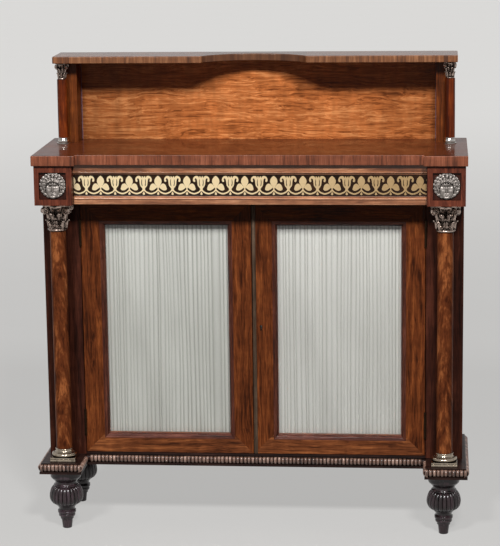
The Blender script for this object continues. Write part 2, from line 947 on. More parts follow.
def turned(profile: Line, around: int = 48) -> Mesh:
    """A solid turned about Z from (radius, level) points in millimetres, closed at both ends."""
    turns = [TAU * step / around for step in range(around)]
    return loft([[(radius * cos(turn), radius * sin(turn), level) for turn in turns]
                 for radius, level in profile])


def bead(radius: float, low: float, high: float, proud: float, steps: int = 8) -> list[Point2]:
    """A half-round bead on a turned profile.

    Args:
        radius: Radius under the bead.
        low: Its lower edge.
        high: Its upper edge.
        proud: How far it stands out.
        steps: Pieces of its round.

    Returns:
        Points of the profile.
    """
    middle, half = (low + high) / 2, (high - low) / 2
    angles = [pi * (step / steps - 0.5) for step in range(steps + 1)]
    return [(radius + proud * cos(angle), middle + half * sin(angle)) for angle in angles]


def swept(profile: Line, frames: Sequence[tuple[Vector, Vector, Vector]], closed: bool = False) -> Mesh:
    """A closed section of (out, up) points that follows frames, each an origin and the ways out and up."""
    return loft([[tuple(origin + out * x + up * y) for x, y in profile] for origin, out, up in frames], closed)


def shell(stops: Sequence[object], sides: Sequence[float], place: Callable[[object, float], tuple[Point3, Point3]],
          angle: float) -> Mesh:
    """A closed shell between a face and its back.

    Args:
        stops: What place is asked about, row by row.
        sides: And along each row.
        place: Gives the point on the face and the one on the back.
        angle: Edges sharper than this, in degrees, stay sharp.

    Returns:
        The mesh.
    """
    grid = [[place(stop, side) for side in sides] for stop in stops]
    high, wide = len(stops), len(sides)
    points = [pair[layer] for layer in (0, 1) for row in grid for pair in row]
    back = high * wide
    faces = []
    for row in range(high - 1):
        for a in range(row * wide, row * wide + wide - 1):
            faces.append((a, a + 1, a + wide + 1, a + wide))
            faces.append((back + a + wide, back + a + wide + 1, back + a + 1, back + a))
    rim = list(range(wide)) + [row * wide + wide - 1 for row in range(1, high)]
    rim += [(high - 1) * wide + step for step in range(wide - 2, -1, -1)]
    rim += [row * wide for row in range(high - 2, 0, -1)]
    faces += [(b, a, back + a, back + b) for a, b in zip(rim, rim[1:] + rim[:1])]
    return finished(rough(points, faces), angle)


# ---- repeating parts
class Repeater:
    """A Geometry Nodes tree that repeats one part, with named inputs."""

    def __init__(self, name: str, **takes: str) -> None:
        """Make an empty tree with its sockets.

        Args:
            name: The tree's name.
            takes: Kind of each input beyond those that every repeater has, by name.
        """
        self.tree = bpy.data.node_groups.new(name, "GeometryNodeTree")
        self.net = Wiring(self.tree)
        self.keys = self.net.sockets("INPUT", {"Geometry": "Geometry", "Part": "Object", "Count": "Int", **takes,
                                               "Finish": "Material"})
        self.net.sockets("OUTPUT", {"Geometry": "Geometry"})
        self.source = self.net.add("NodeGroupInput").outputs
        self.target = self.net.add("NodeGroupOutput")

    def close(self, points: object, turn: object) -> None:
        """Set the part on each point, make the copies real and give them their material.

        Args:
            points: Where the copies stand.
            turn: How each is turned.
        """
        part = self.net.add("GeometryNodeObjectInfo", {"transform_space": "ORIGINAL"}, Object=self.source["Part"])
        copies = self.net.add("GeometryNodeInstanceOnPoints", None, Points=points,
                              Instance=part.outputs["Geometry"], Rotation=turn)
        real = self.net.add("GeometryNodeRealizeInstances", None, Geometry=copies.outputs[0])
        dressed = self.net.add("GeometryNodeSetMaterial", None, Geometry=real.outputs[0],
                               Material=self.source["Finish"])
        self.net.fill(self.target, Geometry=dressed.outputs[0])

    def run(self, part: Mesh, material: Material, line: Sequence[Sequence[float]] = (), **values: object) -> Mesh:
        """Repeat a part.

        Args:
            part: The mesh to repeat, about the frame's origin.
            material: The copies' material.
            line: Two or more points in millimetres that the copies stand along.
            values: The tree's other inputs, by name.

        Returns:
            One plain mesh.
        """
        base = bpy.data.meshes.new("line")
        base.from_pydata([tuple(c * MM for c in point) for point in line],
                         [(k, k + 1) for k in range(len(line) - 1)], [])
        master, host = linked("part_to_repeat", part), linked("host", base)
        modifier = host.modifiers.new("repeat", "NODES")
        modifier.node_group = self.tree
        for word, value in {"Part": master, "Finish": material, **values}.items():
            modifier[self.keys[word]] = value
        mesh = evaluated(host)
        host.modifiers.remove(modifier)
        bpy.data.objects.remove(host)
        bpy.data.objects.remove(master)
        bpy.data.meshes.remove(base)
        return mesh


class RingRepeater(Repeater):
    """Copies of a part that faces +X, spread evenly about Z."""

    def __init__(self) -> None:
        """Build the tree."""
        super().__init__("ring_of_parts", Phase="Float")
        spots = self.net.add("GeometryNodePoints", None, Count=self.source["Count"]).outputs[0]
        number = self.net.add("GeometryNodeInputIndex").outputs[0]
        share = self.net.calc("DIVIDE", self.net.times(number, TAU), self.source["Count"])
        turn = self.net.united(0.0, 0.0, self.net.plus(share, self.source["Phase"]))
        self.close(spots, self.net.add("FunctionNodeEulerToRotation", None, Euler=turn).outputs[0])


class RowRepeater(Repeater):
    """Copies of a part along a line: the part's X follows the line and its Z stays up."""

    def __init__(self) -> None:
        """Build the tree."""
        super().__init__("row_of_parts")
        curve = self.net.add("GeometryNodeMeshToCurve", None, Mesh=self.source["Geometry"]).outputs[0]
        spots = self.net.add("GeometryNodeCurveToPoints", {"mode": "COUNT"}, Curve=curve,
                             Count=self.source["Count"])
        turn = self.net.add("FunctionNodeAlignRotationToVector", {"axis": "X", "pivot_axis": "Z"},
                            Vector=spots.outputs["Tangent"])
        self.close(spots.outputs["Points"], turn.outputs[0])


# ---- camera, light and floor
@dataclass
class Studio:
    """The camera, two soft lamps side by side, a pale floor and a white surround."""

    eye: Point3 = (0.4648, -5.2364, 1.7163)
    yaw: float = 0.0908
    pitch: float = 0.1998
    roll: float = -0.0129
    focal: float = 137.97
    sensor: float = 36.0
    lamp_power: float = 204.0
    lamp_size: float = 0.8
    lamp_distance: float = 6.0
    lamp_height: float = 41.0
    lamp_spread: float = 16.0
    lamp_balance: float = 0.15
    lamp_target: float = 0.65
    floor_half: float = 60.0
    surround: Point2 = (0.009, 0.55)

    def camera(self) -> None:
        """Make the camera and choose it."""
        level = Vector((cos(self.yaw), sin(self.yaw), 0))
        ahead = Vector((-sin(self.yaw) * cos(self.pitch), cos(self.yaw) * cos(self.pitch),
                        -sin(self.pitch)))
        upright = level.cross(ahead)
        side = level * cos(self.roll) + upright * sin(self.roll)
        up = upright * cos(self.roll) - level * sin(self.roll)
        lens = bpy.data.cameras.new("camera")
        lens.lens, lens.sensor_width, lens.sensor_fit = self.focal, self.sensor, "AUTO"
        lens.clip_start, lens.clip_end = 0.1, 200.0
        camera = linked("camera", lens)
        camera.matrix_world = Matrix.Translation(self.eye) @ Matrix((side, up, -ahead)).transposed().to_4x4()
        bpy.context.scene.camera = camera

    def lamp(self, side: str, sign: int) -> None:
        """Hang one soft lamp that looks at the cabinet.

        Args:
            side: The side that it hangs on.
            sign: -1 for the left one and 1 for the right one.
        """
        target = self.lamp_target * UP
        turn, height = radians(sign * self.lamp_spread), radians(self.lamp_height)
        away = Vector((sin(turn) * cos(height), -cos(turn) * cos(height), sin(height)))
        place = target + away * self.lamp_distance
        data = bpy.data.lights.new("lamp_" + side, "AREA")
        data.shape, data.size, data.energy = "SQUARE", self.lamp_size, self.lamp_power * (1 + sign * self.lamp_balance)
        turned_to = (target - place).to_track_quat("-Z", "Y").to_matrix().to_4x4()
        linked("lamp_" + side, data).matrix_world = Matrix.Translation(place) @ turned_to

    def floor(self) -> None:
        """Lay a plain pale floor."""
        half = self.floor_half
        mesh = bpy.data.meshes.new("floor")
        mesh.from_pydata([(-half, -half, 0), (half, -half, 0), (half, half, 0), (-half, half, 0)], [], [(0, 1, 2, 3)])
        piece("floor", mesh, FloorPaint().build())

    def world(self) -> None:
        """A white surround that gives only a little light."""
        world = bpy.data.worlds.new("surround")
        bpy.context.scene.world = world
        world.use_nodes = True
        world.node_tree.nodes.clear()
        net = Wiring(world.node_tree)
        strength = net.span(net.seen(), 0.0, 1.0, *self.surround)
        light = net.add("ShaderNodeBackground", None, Color=WHITE, Strength=strength)
        net.add("ShaderNodeOutputWorld", None, Surface=light.outputs[0])

    def build(self) -> None:
        """Set up everything round the cabinet."""
        self.camera()
        self.floor()
        self.world()
        for side, sign in SIDES:
            self.lamp(side, sign)
        bpy.context.scene.view_settings.view_transform = "Standard"


# ---- feet and base
@dataclass
class TurnedFeet:
    """Four turned feet, each with a reeded bun."""

    finish: Material
    ring: RingRepeater
    toe_profile: Line = ((0, 0), (11.2, 0), (12, 0.8), (14.5, 24.2), (14.2, 25), (17, 25), (17, 31))
    cup_profile: Line = ((23.5, 48), (22.6, 48.6), (20.2, 51.5), (20.6, 54), (23.5, 59), (28.0, 63.5))
    bun_profile: Line = ((30, 65), (36.5, 69), (41.2, 76), (43.2, 84), (43.0, 91), (41.6, 98),
                         (39.2, 105), (35.6, 111))
    neck_profile: Line = ((29.6, 118.4), (28.4, 121), (28.2, 124), (29.6, 127.6), (32.8, 131.2),
                          (36.8, 134.8), (39.4, 138.4), (40, 142), (40, 156))
    reed_ends: tuple[Point2, Point2] = ((29.0, 63.8), (33.2, 114))
    reeds: int = 24
    reed_share: float = 0.98
    swell: float = 3.0
    sunk: float = 2.7
    behind: float = 4.5
    phase: float = 0.05

    def core(self) -> Mesh:
        """The turned body, with the bun a little smaller than its reeds.

        Returns:
            The body, standing on the floor.
        """
        profile = [*self.toe_profile, *bead(19.0, 31, 40, 2.5), *bead(21.5, 40, 48, 2.0), *self.cup_profile]
        profile += [(radius - 2.6, level) for radius, level in flowing(self.bun_profile, 3)]
        profile += [*bead(30.6, 114.2, 118.0, 1.5), *flowing(self.neck_profile, 3)[1:], (0, 156)]
        return turned(profile)

    def reed(self) -> Mesh:
        """One reed, swelling and tapering with the bun.

        Returns:
            The reed, facing +X.
        """
        line = flowing([self.reed_ends[0], *self.bun_profile, self.reed_ends[1]], 2)
        half = pi / self.reeds * self.reed_share

        def place(index: int, side: float) -> tuple[Point3, Point3]:
            """A stop of the line.

            Args:
                index: The stop.
                side: The place across, -1 to 1.

            Returns:
                A point on the face and one on the back.
            """
            (radius, level), share = line[index], index / (len(line) - 1)
            fade = min(1.0, 8.0 * share, 8.0 * (1 - share)) ** 0.5
            face, back = radius + (self.swell * fade * dome(side) - self.sunk), radius - self.behind
            x, y = cos(half * side), sin(half * side)
            return (face * x, face * y, level), (back * x, back * y, level)

        return shell(range(len(line)), evenly(7), place, 60)

    def build(self) -> None:
        """Stand the four feet on their places."""
        core = self.core()
        foot = joined([core, self.ring.run(self.reed(), self.finish, Count=self.reeds, Phase=self.phase)])
        for node in ("front_foot_left", "front_foot_right", "rear_feet"):
            low, high = corners(node)
            middle, half = (low + high) / 2, (high.y - low.y) / 2
            places = (low.x + half, high.x - half) if node == "rear_feet" else (middle.x,)
            mesh = joined([shifted(foot, (x, middle.y, 0)) for x in places])
            settle(piece("turned_" + node, mesh, self.finish), "carcass", "rosewood_dark", node)
        bpy.data.meshes.remove(foot)


@dataclass
class GadroonedBase:
    """The ribbed moulding round the base."""

    finish: Material
    ground: Material
    row: RowRepeater
    pitch: float = 9.75
    rib: float = 8.3
    deep: float = 12.0
    rear: float = 12.2
    profile: Line = ((3.6, 0), (6.6, 1.0), (9.2, 3.4), (11.2, 7.0), (11.9, 10.0), (11.9, 13.6),
                     (10.8, 16.2), (8.4, 18.0), (5.4, 18.8))
    crest: Line = ((8.2, 19.2), (7.8, 21.6), (8.2, 22.0), (12.2, 22.0), (12.2, 0))
    groove: float = 3.4
    behind: float = 2.6
    block_wide: float = 116.3
    block_deep: float = 94.0
    spare: float = 6.0

    def runs(self) -> list[tuple[Vector, Vector]]:
        """Each straight run, walked with the outside on the right.

        Returns:
            Start and end of each.
        """
        low, high = corners("base_gadroons")
        block, setback = high.x - self.block_wide, low.y + self.block_deep
        plan = [(low.x, high.y), (low.x, low.y), (-block, low.y), (-block, setback), (block, setback),
                (block, low.y), (high.x, low.y), (high.x, high.y)]
        stops = [Vector((x, y, low.z)) for x, y in plan]
        return list(zip(stops, stops[1:]))

    def lobe(self) -> Mesh:
        """One rib: its face looks to -Y, and its plane Y = 0 is the outer line of the base.

        Returns:
            The rib.
        """
        def place(stop: Point2, side: float) -> tuple[Point3, Point3]:
            """A point on the face and one on the back, at a stop of the section."""
            x, face = side * self.rib / 2, self.deep - stop[0] + self.groove * (1 - dome(side))
            return (x, min(face, self.deep), stop[1]), (x, self.rear, stop[1])

        return shell(flowing(self.profile, 2), evenly(7), place, 60)

    def core(self) -> Mesh:
        """The plain moulding behind the ribs, mitred at each corner.

        Returns:
            The moulding.
        """
        runs = self.runs()
        section = [(min(self.deep - reach + self.behind, self.deep), level)
                   for reach, level in flowing(self.profile, 2)]
        frames = []
        for index in range(len(runs) + 1):
            walks = [(end - start).normalized() for start, end in runs[max(index - 1, 0):index + 1]]
            insides = [Vector((-walk.y, walk.x, 0)) for walk in walks]
            origin = runs[index][0] if index < len(runs) else runs[-1][1]
            frames.append((origin, sum(insides, Vector((0, 0, 0))), UP))
        return swept([*section, *self.crest], frames)

    def build(self) -> None:
        """Ribs along every run, in front of the plain moulding."""
        lobe, core = self.lobe(), self.core()
        core.polygons.foreach_set("material_index", [1] * len(core.polygons))
        parts = [core]
        for start, end in self.runs():
            length, walk = (end - start).length, (end - start).normalized()
            count = int((length - self.spare) / self.pitch)
            inset = walk * ((length - (count - 1) * self.pitch) / 2)
            ribs = self.row.run(lobe, self.finish, [start + inset, end - inset], Count=count)
            ribs.polygons.foreach_set("material_index", [0] * len(ribs.polygons))
            parts.append(ribs)
        moulding = piece("gadrooned_moulding", joined(parts), self.finish, self.ground)
        settle(moulding, "carcass", "rosewood_dark", "base_gadroons")


# ---- capitals and columns
@dataclass
class LeafyCapital:
    """A capital with two rows of leaves, corner scrolls and a hollow-sided top."""

    ring: RingRepeater
    finish: Material
    spread: float = 1.0
    tall: float = 1.0
    low_leaf: Line = ((21.8, 4.6), (22.8, 11), (23.6, 18), (25.0, 23.4), (27.4, 26.6), (28.8, 25.4),
                      (28.2, 23.0))
    high_leaf: Line = ((21.6, 8), (22.4, 22), (23.6, 34), (26.4, 42), (31.2, 46.8), (34.4, 45.2),
                       (33.4, 42.0))
    small_leaf: Line = ((22.5, 34), (23.5, 44), (25.5, 52), (28.6, 56.6), (31.0, 55.2))
    leaf_thick: float = 1.4
    scroll_eye: Point2 = (38.5, 53.0)
    scroll_radius: float = 7.8
    scroll_turn: float = pi * 3.4
    scroll_thick: float = 0.9
    scroll_dish: float = 0.7
    flower_level: float = 62.5
    flower_radius: float = 7.6
    petals: int = 5
    slab_half: float = 34.0
    slab_hollow: float = 7.0
    slab_reach: float = 28.0
    slab_edge: Line = ((0.88, 63.6), (0.93, 63.8), (0.93, 64.8), (0.95, 65.8), (0.985, 66.6),
                       (1.0, 67.4), (1.0, 68.5))
    bell_profile: Line = ((20.6, 8), (21, 25), (22, 42), (25, 54), (29.5, 60))
    bell_top: float = 64.0

    def leaf(self, spine: Line, wide: float) -> Mesh:
        """An acanthus leaf that faces +X.

        Args:
            spine: Its middle line as (radius, level) points, from the foot to the curled tip.
            wide: Its greatest width.

        Returns:
            The leaf as a closed shell.
        """
        line = flowing(spine, 3)

        def place(index: int, side: float) -> tuple[Point3, Point3]:
            """A stop of the line.

            Args:
                index: The stop.
                side: The place across, -1 to 1.

            Returns:
                A point on the face and one on the back.
            """
            (radius, level), share = line[index], index / (len(line) - 1)
            body = sin(pi * min(1.0, 0.16 + 0.84 * share)) ** 0.6
            half = wide / 2 * body * (1 - 0.34 * abs(sin(share * pi * 4.5)))
            ridge = 1.8 * exp(-(side / 0.2) ** 2) + 1.2 * cos(side * pi * 2.5) * body
            ridge += 0.8 * cos(share * pi * 9.0) * abs(side)
            reach, up = radius + ridge - 2.4 * side * side, level + 2.0 * abs(side) * (0.5 - share)
            return (reach, side * half, up), (reach - self.leaf_thick, side * half * 0.96, up - 0.4)

        return shell(range(len(line)), evenly(9), place, 70)

    def scroll(self) -> Mesh:
        """A corner scroll: a ribbon that climbs from the leaves and rolls up under the corner.

        Returns:
            The scroll, towards +X.
        """
        line = [(22 + 15.5 * (step / 11) ** 1.5, 36 + 24.5 * sin(step / 11 * pi / 2)) for step in range(12)]
        for turn in (step / 33 for step in range(1, 34)):
            radius, angle = self.scroll_radius * (1 - 0.82 * turn), pi / 2 - turn * self.scroll_turn
            line.append((self.scroll_eye[0] + radius * cos(angle), self.scroll_eye[1] + radius * sin(angle)))

        def place(index: int, side: float) -> tuple[Point3, Point3]:
            """A stop of the line.

            Args:
                index: The stop.
                side: The place across, -1 to 1.

            Returns:
                A point on the face and one on the back.
            """
            run = heading(line, index)
            inwards = Vector((run.y, 0, -run.x))
            at = Vector((line[index][0], side * (3.2 + 2.6 * min(1.0, index / 14)), line[index][1]))
            dish = self.scroll_dish * (1 - side * side)
            return tuple(at - inwards * (self.scroll_thick - dish)), tuple(at + inwards * self.scroll_thick)

        return shell(range(len(line)), evenly(5), place, 50)

    def flower(self) -> Mesh:
        """The small flower in the middle of each side of the top.

        Returns:
            The flower, facing +X.
        """
        def place(share: float, turn: float) -> tuple[Point3, Point3]:
            """A spot on the petals.

            Args:
                share: Its reach from the middle, 0 to 1.
                turn: Its angle round the flower.

            Returns:
                A point on the petals and one behind it.
            """
            lobes = cos(self.petals * turn)
            radius = self.flower_radius * share * (1 + 0.22 * lobes)
            proud = 4.6 * (1 - share ** 2) + 0.8 * lobes * share
            y, z = radius * sin(turn), self.flower_level + radius * cos(turn)
            return (26.5 + proud, y, z), (25.0, y, z)

        return shell([row / 6 for row in range(7)], [TAU * step / 16 for step in range(17)], place, 60)

    def top(self) -> Mesh:
        """The hollow-sided slab, with a moulded edge.

        Returns:
            The slab.
        """
        outline = []
        for side in range(4):
            c, s = cos(side * pi / 2), sin(side * pi / 2)
            for t in evenly(13):
                x, y = self.slab_half - self.slab_hollow * (1 - t * t), t * self.slab_reach
                outline.append((x * c - y * s, x * s + y * c))
        return loft([[(x * share, y * share, level) for x, y in outline] for share, level in self.slab_edge])

    def bell(self) -> Mesh:
        """The turned bell and the ring under it."""
        foot = [(0, 0), *bead(22.2, 0, 5, 2.5), (20.6, 5.4), (20.4, 7.0)]
        return turned(foot + flowing(self.bell_profile, 3) + [(29.5, self.bell_top), (0, self.bell_top)], 40)

    def mesh(self) -> Mesh:
        """The whole capital, standing on the frame's origin.

        Returns:
            The capital, stretched to its width and height.
        """
        rings = ((self.leaf(self.low_leaf, 19), 8, 0.0), (self.leaf(self.high_leaf, 18), 8, TAU / 16),
                 (self.leaf(self.small_leaf, 11), 8, 0.0), (self.scroll(), 4, TAU / 8), (self.flower(), 4, 0.0))
        parts = [self.bell(), self.top()]
        parts += [self.ring.run(part, self.finish, Count=count, Phase=phase) for part, count, phase in rings]
        whole = joined(parts)
        whole.transform(Matrix.Diagonal((self.spread, self.spread, self.tall, 1)))
        return whole


@dataclass
class Columns:
    """The two free columns: brass bases, shafts and leafy capitals."""

    wood: Material
    brass: Material
    silver: Material
    ring: RingRepeater
    apart: float = 972.6
    setback: float = -114.5
    foot: float = 184.0
    shaft: tuple[float, float, float] = (20.3, 216.0, 783.5)
    entasis: float = 0.35
    plinth: Point2 = (65.0, 11.0)
    plinth_edge: Line = ((0.9, -3.8), (0.9, -3.0), (0.2, -2.4), (0.2, -0.7), (0.9, 0))
    scotia: Line = ((25.0, 11.9), (22.9, 13.0), (21.7, 15.2), (21.5, 17.4))

    def base(self) -> Mesh:
        """Square plinth and turned rings.

        Returns:
            The base, standing on the frame's origin.
        """
        half, tall = self.plinth[0] / 2, self.plinth[1]
        section = [(0, 0), (half - 0.3, 0), (half, 0.4), (half, tall - 4.2)]
        section += [(half - inset, tall + up) for inset, up in self.plinth_edge] + [(0, tall)]
        frames = [(Vector(), Vector((x, y, 0)), UP) for x, y in ((1, 1), (-1, 1), (-1, -1), (1, -1))]
        rings = [(0, tall), *bead(26.4, tall, tall + 10.4, 5.8, 12), (25.4, tall + 10.8), (25.2, tall + 11.8)]
        rings += flowing([(radius, tall + up) for radius, up in self.scotia], 3)
        rings += [*bead(21.6, tall + 17.6, tall + 20.6, 1.7), (20.9, tall + 21.0), (0, tall + 21.0)]
        return joined([swept(section, frames, True), turned(rings, 56)])

    def build(self) -> None:
        """Both columns."""
        radius, low, high = self.shaft
        line = [(radius - self.entasis * (k / 8) ** 2, low + (high - low) * k / 8) for k in range(9)]
        rod = turned([(0, low), *line, (0, high)], 56)
        base = shifted(self.base(), (0, 0, self.foot))
        capital = shifted(LeafyCapital(self.ring, self.silver).mesh(), (0, 0, high))
        places = [(sign * self.apart / 2, self.setback, 0) for _, sign in SIDES]
        for (side, _), place in zip(SIDES, places):
            settle(piece("shaft_" + side, shifted(rod, place), self.wood), "carcass", "rosewood", "column_" + side)
        bases, capitals = (joined([shifted(mesh, place) for place in places]) for mesh in (base, capital))
        settle(piece("brass_column_bases", bases, self.brass), "carcass", "brass", "column_bases")
        settle(piece("leafy_capitals", capitals, self.silver), "carcass", "silvered_mounts", "column_capitals")


# ---- masks
@dataclass
class HeadMask:
    """A cast head in relief with locks of hair all round; the face is a plain one on even thirds."""

    finish: Material
    wide: float = 69.0
    tall: float = 67.0
    grid: float = 0.5
    brow: float = 5.0
    third: float = 18.5
    face_wide: float = 37.0
    deepest: float = 14.4
    hair_rows: tuple[tuple[float, ...], ...] = (
        (19, 29.0, 28.2, 1.6, -68, 248, 5.6, 2.4), (15, 23.6, 21.6, 3.0, -62, 242, 5.0, 4.6),
        (11, 18.4, 13.4, 4.6, -22, 202, 4.3, 6.4), (7, 12.6, 4.6, 9.4, 8, 172, 4.0, 7.6))
    leans: Point2 = (1.15, -0.7)
    cushion: float = 30.0
    fringe: float = 3.4
    face_edge: float = 0.015

    def locks(self) -> list[tuple[float, float, float, float, float, float]]:
        """The locks of hair, row by row.

        Returns:
            Centre, half length, half width, direction and level of each.
        """
        found = []
        for number, (count, wide, up, lift, low, high, size, level) in enumerate(self.hair_rows):
            for step in range(count):
                angle = radians(low + (high - low) * step / (count - 1))
                side = 1 if cos(angle) >= 0 else -1
                found.append((wide * cos(angle), up * sin(angle) + lift, size * 1.2, size * 0.8,
                              angle + side * self.leans[number % 2], level))
        return found

    def hair(self, u: Array, v: Array) -> Array:
        """A low cushion and rows of twisted locks over it.

        Args:
            u: Places to the right.
            v: Places upwards.

        Returns:
            Height of the hair.
        """
        under = 1 - (u / self.cushion) ** 2 - ((v - 1.0) / self.cushion) ** 2
        height = np.where(under > 0, 1.4 + 3.0 * np.sqrt(np.maximum(under, 0)), -1.0)
        for x, y, long, short, lean, level in self.locks():
            along = ((u - x) * cos(lean) + (v - y) * sin(lean)) / long
            aside = ((v - y) * cos(lean) - (u - x) * sin(lean)) / short
            inside = 1 - along ** 2 - aside ** 2
            lock = level + 3.6 * np.sqrt(np.maximum(inside, 0)) + 0.55 * np.cos(7.0 * aside + 3.0 * along)
            height = np.where(inside > 0, np.maximum(height, lock), height)
        return height

    def features(self) -> list[tuple[float, float, float, float, float]]:
        """The swellings and hollows of the face.

        Brow, base of the nose and chin stand a third apart, the face is five eyes wide, the nose is one eye
        wide and the mouth one and a half.

        Returns:
            Height, place to the right, place upwards, width and tallness of each.
        """
        brow, base, chin, eye = self.brow, self.brow - self.third, self.brow - 2 * self.third, self.face_wide / 5
        mouth = base - self.third / 3
        paired = {
            "brow": (2.0, eye, brow, eye * 0.95, 1.3),
            "socket": (-4.0, eye, brow - 0.25 * self.third, eye * 0.74, 2.9),
            "eyeball": (1.5, eye, brow - 0.34 * self.third, eye * 0.45, 1.7),
            "side of the nose": (-1.3, eye * 1.15, base + 6.0, eye * 0.8, 4.5),
            "lid": (0.5, eye, brow - 0.19 * self.third, eye * 0.55, 0.6),
            "cheekbone": (1.1, 1.5 * eye, base + 3.4, eye * 0.75, 5.0),
            "nostril": (1.4, eye * 0.43, base + 1.2, 1.5, 1.6),
            "fold beside the mouth": (-0.8, eye * 0.95, base - 2.6, 1.2, 3.4),
        }
        middle = {
            "upper lip": (1.5, 0, mouth + 1.5, eye * 0.78, 1.2),
            "lower lip": (1.8, 0, mouth - 1.8, eye * 0.62, 1.4),
            "mouth": (-1.3, 0, mouth, eye * 0.85, 0.5),
            "hollow under the lip": (-1.2, 0, mouth - 4.6, eye * 0.7, 1.3),
            "chin": (2.2, 0, chin + 4.0, eye * 0.78, 3.6),
        }
        both = [(rise, sign * x, y, wide, tall) for _, sign in SIDES for rise, x, y, wide, tall in paired.values()]
        return both + list(middle.values())

    def face(self, u: Array, v: Array) -> tuple[Array, Array]:
        """The face, with its nose.

        Args:
            u: Places to the right.
            v: Places upwards.

        Returns:
            Its height, and its oval, above 0 inside.
        """
        brow, base = self.brow, self.brow - self.third
        middle = brow - 0.75 * self.third
        jaw = np.maximum(middle - v, 0) / self.third
        oval = 1 - (u / (self.face_wide / 2 * (1 - 0.13 * jaw))) ** 2 - ((v - middle) / (1.27 * self.third)) ** 2
        relief = 3.4 + 5.6 * np.maximum(oval, 0) ** 0.36
        for rise, x, y, wide, tall in self.features():
            relief += rise * np.exp(-((u - x) / wide) ** 2 - ((v - y) / tall) ** 2)
        slope = np.clip((brow - v) / self.third, 0, 1)
        nose = (2.2 + 2.6 * slope) * np.exp(-(u / (1.5 + 1.2 * slope)) ** 2)
        relief += nose * np.clip((v - base + 1.4) / 1.8, 0, 1) * np.clip((brow + 5 - v) / 6, 0, 1)
        return relief, oval

    def relief(self, u: Array, v: Array) -> Array:
        """Height over the ground, in millimetres, and below 0 outside the head.

        Args:
            u: Places to the right.
            v: Places upwards.

        Returns:
            Heights.
        """
        hair = self.hair(u, v)
        face, oval = self.face(u, v)
        fringe = self.brow + self.fringe + 1.2 * np.cos(u * 0.9)
        inside = oval > self.face_edge
        crown = np.where(v < fringe, hair, np.maximum(hair, np.where(inside, face - 1.5, -1)))
        return np.where(inside & (v < fringe), face, crown)

    def mesh(self) -> Mesh:
        """The head, facing -Y, on the plane Y = 0.

        Returns:
            The head.
        """
        u, v = np.meshgrid(*(np.arange(-size / 2, size / 2 + 1e-6, self.grid) for size in (self.wide, self.tall)))
        height = np.minimum(self.relief(u, v), self.deepest)
        columns = height.shape[1]
        lowest = np.minimum(np.minimum(height[:-1, :-1], height[1:, :-1]), np.minimum(height[:-1, 1:], height[1:, 1:]))
        starts = [int(r) * columns + int(c) for r, c in np.argwhere(lowest > 0)]
        mesh = rough(np.stack([u, -height, v], -1).reshape(-1, 3).tolist(),
                     [(a, a + 1, a + columns + 1, a + columns) for a in starts])
        with opened(mesh) as work:
            bmesh.ops.delete(work, geom=[vert for vert in work.verts if not vert.link_faces], context="VERTS")
            rim = [edge for edge in work.edges if edge.is_boundary]
            grown = bmesh.ops.extrude_edge_only(work, edges=rim)["geom"]
            for vert in (item for item in grown if isinstance(item, bmesh.types.BMVert)):
                vert.co.y = 0
            bmesh.ops.holes_fill(work, edges=[edge for edge in work.edges if edge.is_boundary], sides=0)
        return finished(mesh, 80, 1e-7)

    def build(self) -> None:
        """One head in each corner block."""
        head = self.mesh()
        for side, _ in SIDES:
            node = "mask_mount_" + side
            low, high = corners(node)
            mesh = shifted(head, ((low.x + high.x) / 2, high.y, (low.z + high.z) / 2))
            settle(piece("head_mask_" + side, mesh, self.finish), "carcass", "silvered_mounts", node)


# ---- drawer
def mirrored(half: Line, foot: Point2) -> list[Point2]:
    """A closed outline from its right half, which starts on the middle line, and its lowest point there."""
    return [*half, foot, *((-x, z) for x, z in reversed(half[1:]))]


